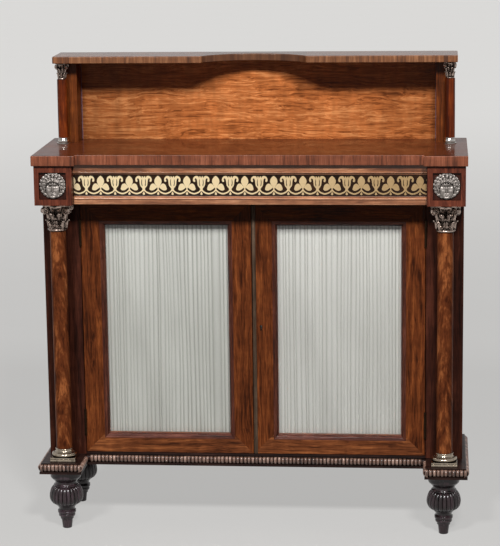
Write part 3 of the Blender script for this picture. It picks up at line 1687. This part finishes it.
@dataclass
class FriezeDrawer:
    """The drawer front with its mouldings, and the brass inlay in its band."""

    wood: Material
    ground: Material
    bright: Material
    brass: Material
    row: RowRepeater
    node: str = "frieze_drawer_front"
    face: float = 2.5
    band: Point2 = (22.5, 73.0)
    pitch: float = 72.2
    shift: float = -10.2
    reach: int = 7
    thick: float = 0.3
    thinner: float = 0.06
    stroke: float = 3.7
    sink: float = 3.0
    margin: float = 0.6
    trefoil: Line = (
        (0.0, 49.0), (3.2, 47.2), (6.6, 43.4), (8.7, 38.6), (8.9, 33.4), (7.0, 28.2), (4.6, 24.4), (3.6, 22.0),
        (6.6, 26.4), (10.6, 29.6), (15.4, 29.2), (19.0, 25.6), (20.8, 20.4), (21.6, 15.4), (18.2, 12.6), (12.8, 12.8),
        (7.8, 15.6), (3.8, 18.8), (1.9, 19.6), (1.5, 16.4), (2.4, 13.4), (4.6, 11.0), (3.0, 9.4), (1.2, 10.2))
    lily: Line = (
        (0.0, 44.6), (1.5, 46.8), (3.4, 48.6), (4.6, 46.4), (5.2, 43.2), (6.4, 46.4), (9.6, 48.8), (14.6, 48.6),
        (18.8, 45.4), (20.6, 40.6), (20.2, 36.0), (17.6, 33.8), (15.2, 35.4), (15.4, 38.2), (16.2, 40.6), (14.4, 43.0),
        (11.8, 41.4), (10.4, 36.4), (9.7, 30.4), (8.6, 24.6), (5.8, 20.6), (3.6, 17.6), (3.2, 14.8), (4.8, 11.4),
        (3.0, 9.6))
    bud: Line = ((0.0, 9.4), (1.6, 6.8), (2.9, 3.8), (1.8, 1.8))
    slot: Line = ((4.2, 41.6), (5.5, 37.0), (5.9, 30.6), (4.8, 24.6), (3.6, 23.0), (3.0, 26.0),
                  (4.0, 31.0), (3.9, 37.0))

    def front(self) -> Mesh:
        """The moulded board; the inlaid band takes the second material, the crests of the beads the third.

        Returns:
            The board.
        """
        low, high = corners(self.node)
        rear, face, foot = high.y, low.y + self.face, low.z
        band, floor = [foot + level for level in self.band], face + self.sink

        def roll(start: float, end: float, proud: float) -> list[Point2]:
            """A half-round bead between two levels over the foot."""
            return [(face - proud * sin(pi * k / 8), foot + start + (end - start) * k / 8) for k in range(9)]

        section = [(rear, foot), (face + 0.4, foot), (face, foot + 0.4), (face, foot + 11.4), *roll(12, 18, 2.5),
                   (face + 0.6, foot + 18.4), (face + 2.4, foot + 20.6), (floor, band[0]), (floor, band[1]),
                   (face + 2.2, foot + 75.4), (face + 0.6, foot + 78.6), *roll(79, 83, 1.8), (face, foot + 83.6),
                   (face, high.z - 0.4), (face + 0.4, high.z), (rear, high.z)]
        mesh = swept(section, [(Vector((x, 0, 0)), Vector((0, 1, 0)), UP) for x in (low.x, high.x)])
        for polygon in mesh.polygons:
            depth, level = polygon.center.y / MM, polygon.center.z / MM
            if band[0] - 2 < level < band[1] + 2 and depth < face + 7:
                polygon.material_index = 1
            elif depth < face - 1.5:
                polygon.material_index = 2
        return mesh

    def outlines(self) -> list[list[list[Point2]]]:
        """The shapes of one repeat, from the trefoil to the lily at its right.

        Returns:
            For each shape an outline, then its holes.
        """
        half = self.pitch / 2
        bud = mirrored(self.bud, (0.0, 1.4))
        slots = (self.slot, [(-x, z) for x, z in self.slot])
        groups = (((mirrored(self.trefoil, (0.0, 11.0)),), 0.0), ((bud,), 0.0),
                  ((mirrored(self.lily, (0.0, 11.0)), *slots), half), ((bud,), half))
        shapes = [[[(x + move, z) for x, z in flowing(line, 4, True)] for line in lines] for lines, move in groups]
        for _, sign in SIDES:
            start, end = half + sign * 2.4, half + sign * (half - 2.2)
            route = [(start, 13.0), (start + sign * 4.4, 8.2), ((start + end) / 2, 4.4), (end - sign * 4.4, 8.0),
                     (end, 12.6)]
            shapes.append([self.stroked(flowing(route, 6))])
        return shapes

    def stroked(self, middle: Line) -> list[Point2]:
        """The outline of a line that is thickest at its middle.

        Args:
            middle: The line.

        Returns:
            The outline.
        """
        sides = ([], [])
        for index, (x, z) in enumerate(middle):
            run = heading(middle, index)
            wide = self.stroke / 2 * (0.72 + 0.28 * sin(pi * index / (len(middle) - 1)))
            for side, half in zip(sides, (wide, -wide)):
                side.append((x - run.y * half, z + run.x * half))
        return sides[0] + sides[1][::-1]

    def repeat(self) -> Mesh:
        """One repeat of the inlay as thin plates, facing -Y; each is a hair thinner than the one before.

        Returns:
            The plates.
        """
        plates = []
        for number, shape in enumerate(self.outlines()):
            curve = bpy.data.curves.new("inlay", "CURVE")
            curve.dimensions, curve.fill_mode = "2D", "BOTH"
            curve.extrude = self.thick / 2 * (1 - self.thinner * number) * MM
            for outline in shape:
                spline = curve.splines.new("POLY")
                spline.points.add(len(outline) - 1)
                spline.points.foreach_set("co", [c for x, z in outline for c in (x * MM, z * MM, 0, 1)])
                spline.use_cyclic_u = True
            thing = linked("inlay", curve)
            plates.append(evaluated(thing))
            bpy.data.objects.remove(thing)
        mesh = joined(plates)
        mesh.transform(Matrix.Rotation(pi / 2, 4, "X"))
        return finished(mesh, 30)

    def inlay(self) -> Mesh:
        """The border, cut off at both ends of the drawer.

        Returns:
            The border.
        """
        low, high = corners(self.node)
        plane = low.y + self.face + self.sink - self.thick / 2
        line = [(self.shift + sign * self.reach * self.pitch, plane, low.z + self.band[0]) for _, sign in SIDES]
        mesh = self.row.run(self.repeat(), self.brass, line, Count=2 * self.reach + 1)
        with opened(mesh) as work:
            for x, way in ((low.x + self.margin, -1), (high.x - self.margin, 1)):
                cut = bmesh.ops.bisect_plane(work, geom=work.verts[:] + work.edges[:] + work.faces[:],
                                             plane_co=(x * MM, 0, 0), plane_no=(way, 0, 0), clear_outer=True)
                rim = [item for item in cut["geom_cut"] if isinstance(item, bmesh.types.BMEdge)]
                bmesh.ops.holes_fill(work, edges=rim, sides=0)
        return finished(mesh, 30)

    def build(self) -> None:
        """The front and its inlay."""
        front = piece("moulded_drawer_front", self.front(), self.wood, self.ground, self.bright)
        settle(front, "drawer", "rosewood", self.node)
        settle(piece("inlaid_border", self.inlay(), self.brass), "drawer", "brass", "brass_inlay")


# ---- doors
@dataclass
class GlazedDoor:
    """Moulding and pleated silk of one door."""

    side: str
    moulding: Material
    silk: Material
    section: Line = ((0, 0), (2.6, 0.1), (3.0, 0.9), (3.8, 1.5), (5.0, 1.7), (6.4, 2.3), (7.8, 3.5),
                     (9.0, 5.2), (9.8, 7.2), (10.3, 8.8), (11.4, 9.1), (12.0, 9.7), (12.0, 12.0),
                     (0, 12.0))
    pleat: float = 9.4
    pleat_range: Point2 = (0.62, 1.5)
    pleat_steps: int = 12
    strength_range: Point2 = (0.6, 1.0)
    shade_range: Point2 = (0.0, 0.22)
    fold: float = 1.35
    last_pleats: Line = ((9.0, 1.0), (21.0, 0.3), (8.5, 0.9), (9.0, 1.0), (8.5, 0.9))
    rod: float = 3.5
    rod_setback: float = 2.5
    cloth_setback: float = 1.9
    wrap: tuple[Point3, ...] = ((-0.6, 3.1, 0.35), (1.4, 2.9, 0.5), (3.0, 1.4, 0.5), (3.2, -0.8, 0.5),
                                (2.2, -3.2, 0.6), (0.4, -6.5, 0.8), (-0.6, -11.0, 1.0))
    rows: int = 36
    thick: float = 0.2
    seed: int = 11

    def frame_moulding(self) -> None:
        """The moulding round the glass, mitred at its corners."""
        node = self.side + "_door_moulding"
        low, high = corners(node)
        plan = ((low.x, low.z, 1, 1), (high.x, low.z, -1, 1), (high.x, high.z, -1, -1), (low.x, high.z, 1, -1))
        frames = [(Vector((x, low.y, z)), Vector((dx, 0, dz)), Vector((0, 1, 0))) for x, z, dx, dz in plan]
        moulding = piece("splayed_" + node, swept(self.section, frames, True), self.moulding)
        settle(moulding, self.side + "_door", "rosewood_dark", node)

    def hang(self) -> list[Point3]:
        """The cloth's line from the lower rod to the upper one.

        Returns:
            Depth, level and how deep the folds are at each stop.
        """
        low, high = corners(self.side + "_door_silk_rods")
        back = corners(self.side + "_door_frame")[1].y
        axis = back + self.rod_setback
        foot = [(axis + y, low.z + self.rod - z, fold) for y, z, fold in self.wrap]
        head = [(axis + y, high.z - self.rod + z, fold) for y, z, fold in self.wrap]
        start, end = foot[-1][1], head[-1][1]
        between = [(back + self.cloth_setback, start + (end - start) * step / self.rows, 1.0)
                   for step in range(1, self.rows)]
        return foot + between + head[::-1]

    def pleats(self, wide: float, random: np.random.Generator) -> tuple[Array, ...]:
        """Where the pleats fall across the cloth.

        Args:
            wide: The cloth's width as it hangs.
            random: Where their differences come from.

        Returns:
            At each place, how far along it is, how high its pleat's crown is, how deep the fold, how dark, and
            whether the pleat is a flat one.
        """
        tail = np.array(self.last_pleats)
        free = wide - tail[:, 0].sum()
        widths = self.pleat * random.uniform(*self.pleat_range, round(free / self.pleat))
        widths = np.concatenate([widths * free / widths.sum(), tail[:, 0]])
        strengths = np.concatenate([random.uniform(*self.strength_range, len(widths) - len(tail)), tail[:, 1]])
        edges = np.concatenate([[0.0], np.cumsum(widths)])
        phases = np.linspace(0, len(widths), len(widths) * self.pleat_steps + 1)
        creases = np.concatenate([[0.5], (strengths[1:] + strengths[:-1]) / 2, [0.5]])
        tones = random.uniform(*self.shade_range, len(widths))
        which = np.minimum(phases.astype(int), len(widths) - 1)
        along, depth = (np.interp(phases, np.arange(len(edges)), values) for values in (edges, creases))
        crown = np.abs(np.sin(pi * phases)) ** 0.62
        return along, crown, depth, tones[which], strengths[which] < 0.5

    def cloth(self) -> None:
        """Silk gathered on two rods, as a pleated sheet."""
        random = np.random.default_rng(self.seed + len(self.side))
        low, high = corners(self.side + "_door_silk")
        wide = high.x - low.x
        along, crown, depth, tone, flat_pleat = self.pleats(wide, random)
        line = self.hang()
        lean = random.uniform(-1, 1, 2) * 3
        rows, folds = [], []
        for index, (y, z, fold) in enumerate(line):
            share = (z - line[0][1]) / (line[-1][1] - line[0][1])
            run = heading(line, index)
            gather = fold * (0.8 + 0.2 * abs(2 * share - 1) ** 3)
            shift = self.fold * gather * depth * (2 * crown - 1)
            sway = 1.6 * np.sin(share * 3.1 + along / 47 + lean[0]) + 0.7 * np.sin(share * 6.3 + along / 19 + lean[1])
            x = low.x + along + np.sin(pi * along / wide) * sway
            rows.append(np.stack([x, y - shift * run.y, z + shift * run.x], 1))
            folds.append(1 - (1 - crown) * depth * gather - tone - 0.12 * flat_pleat)
        self.sheet(np.array(rows), np.array(folds, "f"), line)

    def sheet(self, grid: Array, folds: Array, line: Sequence[Point3]) -> None:
        """Args:
            grid: Points of the cloth, row by row from below.
            folds: How open each point is to the light, 1 on a crown.
            line: The line that the cloth hangs on.
        """
        high, wide = grid.shape[:2]
        starts = [r * wide + c for r in range(high - 1) for c in range(wide - 1)]
        mesh = rough(grid.reshape(-1, 3).tolist(), [(a, a + 1, a + wide + 1, a + wide) for a in starts])
        mesh.attributes.new("fold", "FLOAT", "POINT").data.foreach_set("value", folds.ravel())
        steps = np.linalg.norm(np.diff(grid, axis=1), axis=2)
        widths = np.concatenate([np.zeros((high, 1)), np.cumsum(steps, axis=1)], 1) * MM
        climb = np.cumsum([0.0] + [dist(before[:2], after[:2]) for before, after in zip(line, line[1:])]) * MM
        layer = mesh.uv_layers.new(name="cloth")
        for loop in mesh.loops:
            r, c = divmod(loop.vertex_index, wide)
            layer.data[loop.index].uv = (widths[high // 2][c], climb[r])
        mesh.shade_smooth()
        node = self.side + "_door_silk"
        thing = settle(piece("pleated_" + node, mesh, self.silk), self.side + "_door", "silk", node)
        thickness = thing.modifiers.new("thickness", "SOLIDIFY")
        thickness.thickness, thickness.offset = self.thick * MM, 0.0
        flat = (float(widths[:, -1].mean()), float(climb[-1]))
        log.info("%s is cut to %.3f x %.3f m", thing.name, *flat)

    def build(self) -> None:
        """Moulding and silk."""
        self.frame_moulding()
        self.cloth()


@dataclass
class MeetingStrip:
    """The half-round strip on the closing edge of the right door."""

    finish: Material
    ease: float = 0.8
    end_share: float = 0.86

    def build(self) -> None:
        """One long half round with eased ends."""
        low, high = corners("astragal")
        half, proud = (high.x - low.x) / 2, high.y - low.y
        section = [(half * cos(pi * k / 12), -proud * sin(pi * k / 12) ** 0.8) for k in range(13)]
        stops = ((low.z, self.end_share), (low.z + self.ease, 1.0), (high.z - self.ease, 1.0), (high.z, self.end_share))
        frames = [(Vector((low.x + half, high.y, z)), Vector((share, 0, 0)), Vector((0, share, 0)))
                  for z, share in stops]
        settle(piece("meeting_bead", swept(section, frames), self.finish), "right_door", "rosewood", "astragal")


# ---- gallery
@dataclass
class GalleryColumns:
    """The two small columns that carry the gallery shelf."""

    wood: Material
    bright: Material
    silver: Material
    ring: RingRepeater
    apart: float = 992.0
    place: float = 62.0
    foot: float = 978.0
    neck: float = 1144.0
    foot_profile: Line = ((0, 0), (16.8, 0), (17.3, 0.5), (17.3, 2.0), (16.6, 2.7), (14.2, 2.7))
    dome_profile: Line = ((13.7, 2.9), (14.3, 6.0), (13.8, 9.6), (12.7, 12.2))
    shaft_profile: Line = ((0, 16), (13.0, 16), (12.9, 90), (12.5, 166), (0, 166))
    capital_size: Point2 = (0.4416, 42 / 68.5)

    def build(self) -> None:
        """Bright feet, shafts and small leafy capitals."""
        foot = turned([*self.foot_profile, *flowing(self.dome_profile, 4), *bead(12.4, 12.2, 16, 1.2, 6), (0, 16)])
        capital = LeafyCapital(self.ring, self.silver, *self.capital_size).mesh()
        plan = ((foot, self.foot, "bright_gallery_feet", self.bright, "silvered_mounts", "gallery_column_bases"),
                (turned(self.shaft_profile), self.foot, "gallery_shafts", self.wood, "rosewood", "gallery_columns"),
                (capital, self.neck, "small_leafy_capitals", self.silver, "silvered_mounts", "gallery_capitals"))
        for part, level, name, material, slot, node in plan:
            pair = joined([shifted(part, (sign * self.apart / 2, self.place, level)) for _, sign in SIDES])
            settle(piece(name, pair, material), "carcass", slot, node)


# ---- finishes of the carried-over nodes
UPRIGHT = {"grain": Grain.UPRIGHT}
FRAMED = {"layout": Layout.MITRED}
SLAB = {"layout": Layout.CROSSBANDED, "along": 5, "across": 120, "warp": 0.01, "polish_roughness": 0.03}


@dataclass
class Workshop:
    """All finishes, and which of the model's own nodes takes which."""

    def woods(self) -> dict[str, Rosewood]:
        """The polished woods, by place.

        Returns:
            Their finishes.
        """
        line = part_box("gallery_back")[1].x - 2 * MM
        made = {
            "panel": Rosewood("gallery_panel_veneer", paint(114, 57, 22), paint(190, 109, 56), paint(232, 152, 92),
                              along=7, across=170, warp=0.06, veins=0.08, figure=0.14, pores=0.4, relief=0.05,
                              ends=0.33, lined=line),
            "top": Rosewood("top_veneer", paint(84, 44, 28), paint(132, 73, 49), paint(162, 97, 70), **SLAB,
                            polish=0.42, flat_shade=0.46),
            "shelf": Rosewood("shelf_veneer", paint(70, 38, 20), paint(124, 76, 44), paint(160, 108, 72), **SLAB,
                              polish=0.7, mended=0.131),
            "frieze": Rosewood("frieze_veneer", paint(104, 60, 37), paint(158, 102, 69), paint(196, 138, 100),
                               polish=0.8, polish_roughness=0.24),
            "bead": Rosewood("worn_bead", paint(160, 98, 66), paint(208, 142, 102), paint(238, 178, 138),
                             polish=1.0, polish_roughness=0.2),
            "ground": Rosewood("inlay_ground", paint(20, 11, 6), paint(40, 24, 14), paint(58, 36, 20)),
            "upright": Rosewood("upright_veneer", paint(34, 14, 9), paint(60, 29, 20), paint(84, 44, 31), **UPRIGHT,
                                polish=0.03, specular=0.06),
            "column": Rosewood("column_veneer", paint(64, 29, 14), paint(106, 54, 28), paint(170, 100, 56), **UPRIGHT,
                               tilt=0.3, across=60, warp=0.03, veins=0.1, figure=0.08, polish=0.02, specular=0.05),
            "block": Rosewood("corner_block_veneer", paint(40, 17, 12), paint(102, 51, 36), paint(132, 70, 50),
                              **UPRIGHT, hollow=(0.4883, 0.901, 0.0347, -0.1566)),
            "base": Rosewood("base_wood", paint(16, 9, 8), paint(40, 24, 20), paint(60, 38, 32), polish=0.1),
            "carved": Rosewood("carved_wood", paint(44, 28, 22), paint(136, 102, 86), paint(192, 158, 141), **UPRIGHT,
                               polish=1.0, polish_roughness=0.2, specular=0.4, relief=0.02, grime=0.8),
            "turned": Rosewood("turned_wood", paint(6, 2, 2), paint(44, 28, 31), paint(74, 56, 64), **UPRIGHT,
                               polish=0.9, polish_roughness=0.2, relief=0.03, grime=1.0),
            "strip": Rosewood("meeting_strip_wood", paint(56, 42, 32), paint(86, 68, 54), paint(104, 84, 68),
                              **UPRIGHT, veins=0.1),
            "small": Rosewood("gallery_column_wood", paint(60, 20, 5), paint(103, 41, 12), paint(144, 66, 22),
                              **UPRIGHT, polish=0.1),
            "side": Rosewood("gallery_side_veneer", paint(54, 22, 6), paint(98, 47, 17), paint(130, 68, 27), **UPRIGHT),
        }
        for side, _ in SIDES:
            made[side + "_door"] = Rosewood(
                side + "_door_veneer", paint(54, 24, 10), paint(104, 52, 25), paint(146, 80, 40), **FRAMED,
                corners=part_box(side + "_door_frame"), along=7, across=110, warp=0.03, figure=0.1, polish=0.03,
                specular=0.06)
            made[side + "_moulding"] = Rosewood(
                side + "_moulding_wood", paint(40, 18, 12), paint(78, 38, 26), paint(106, 58, 42), **FRAMED,
                corners=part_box(side + "_door_moulding"), along=10, across=105, polish=0.15, polish_roughness=0.2)
        return made

    def others(self) -> dict[str, Finish]:
        """Metals, glass, silk and plain woods, by name.

        Returns:
            Their finishes.
        """
        soot = paint(26, 20, 16)
        return {
            "silver": Metal("silvered_mount", paint(154, 146, 140), soot, depth=6.0, amount=1.9, gloss=0.42),
            "capital": Metal("silvered_capital", paint(188, 168, 156), soot, depth=7.0, amount=3.6, gloss=0.24),
            "bright": Metal("bright_silver", paint(206, 202, 196), paint(70, 62, 54), amount=0.6, gloss=0.06),
            "column_brass": Metal("column_base_brass", paint(182, 168, 150), paint(28, 20, 15), amount=2.0,
                                  gloss=0.15),
            "inlay": Metal("inlay_brass", paint(252, 230, 186), paint(138, 104, 58), depth=1.0, amount=0.2, fade=0.75,
                           gloss=0.45),
            "brass": Metal("fittings_brass", paint(180, 146, 88), paint(74, 52, 28), depth=2.0, gloss=0.28),
            "aged": Metal("aged_brass", paint(46, 34, 24), paint(22, 15, 10), depth=2.0, gloss=0.5),
            "steel": Metal("lock_steel", paint(130, 128, 126), paint(46, 40, 34), depth=2.0, gloss=0.35),
            "glass": Glazing(),
            "silk": SilkCloth(),
            "right_silk": SilkCloth("right_pleated_silk", paint(240, 238, 232), paint(212, 210, 204),
                                    paint(190, 188, 182), paint(160, 158, 150)),
            "pine": CarcassWood("carcass_pine", paint(186, 142, 92), paint(140, 98, 56)),
            "pine_upright": CarcassWood("back_board_pine", paint(150, 108, 68), paint(104, 72, 42), Grain.UPRIGHT),
            "pine_inwards": CarcassWood("drawer_side_wood", paint(172, 122, 76), paint(120, 80, 44), Grain.INWARDS),
        }

    def stock(self) -> dict[str, Material]:
        """Every material, by the name of its finish's place."""
        return {name: finish.build() for name, finish in {**self.woods(), **self.others()}.items()}

    def dress_nodes(self, stock: dict[str, Material]) -> None:
        """Give each carried-over node its finish.

        Args:
            stock: Materials by name.
        """
        plan = {
            "top": ("main_top",), "shelf": ("gallery_shelf",), "panel": ("gallery_back",), "side": ("gallery_sides",),
            "upright": ("pilasters", "carcass_sides"), "frieze": ("frieze_rail",),
            "base": ("base_frame", "carcass_floor"), "block": ("corner_block_left", "corner_block_right"),
            "left_door": ("left_door_frame",), "right_door": ("right_door_frame",),
            "pine": ("dust_board", "top_rails", "inner_shelf", "drawer_back", "drawer_bottom"),
            "pine_upright": ("back_boards",), "pine_inwards": ("drawer_sides", "drawer_guides", "shelf_battens"),
            "glass": ("left_door_glass", "right_door_glass"),
            "aged": ("hinge_leaves_fixed", "hinge_pins", "left_door_hinge_leaves", "right_door_hinge_leaves",
                     "keyhole_liner"),
            "brass": ("left_door_silk_rods", "right_door_silk_rods", "top_door_bolt", "bottom_door_bolt",
                      "bolt_staples"),
            "steel": ("lock_case", "lock_bolt", "hinge_screws_pilasters", "left_door_hinge_screws",
                      "right_door_hinge_screws"),
        }
        for name, nodes in plan.items():
            for node in nodes:
                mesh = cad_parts[node].data
                mesh.materials.clear()
                mesh.materials.append(stock[name])
                log.info("%s in %s", node, stock[name].name)


def main() -> None:
    """Build the studio, the finishes and every piece, and note the model's box before and after."""
    logging.basicConfig(level=logging.INFO, format="%(name)s: %(message)s")
    Studio().build()
    workshop = Workshop()
    stock = workshop.stock()
    workshop.dress_nodes(stock)
    ring, row = RingRepeater(), RowRepeater()
    TurnedFeet(stock["turned"], ring).build()
    GadroonedBase(stock["carved"], stock["base"], row).build()
    Columns(stock["column"], stock["column_brass"], stock["capital"], ring).build()
    HeadMask(stock["silver"]).build()
    FriezeDrawer(stock["frieze"], stock["ground"], stock["bead"], stock["inlay"], row).build()
    GlazedDoor("left", stock["left_moulding"], stock["silk"]).build()
    GlazedDoor("right", stock["right_moulding"], stock["right_silk"],
               last_pleats=((9.0, 1.0), (8.0, 1.0), (9.0, 1.3), (10.0, 0.7))).build()
    MeetingStrip(stock["strip"]).build()
    GalleryColumns(stock["small"], stock["bright"], stock["capital"], ring).build()


if __name__ == "__main__":
    main()
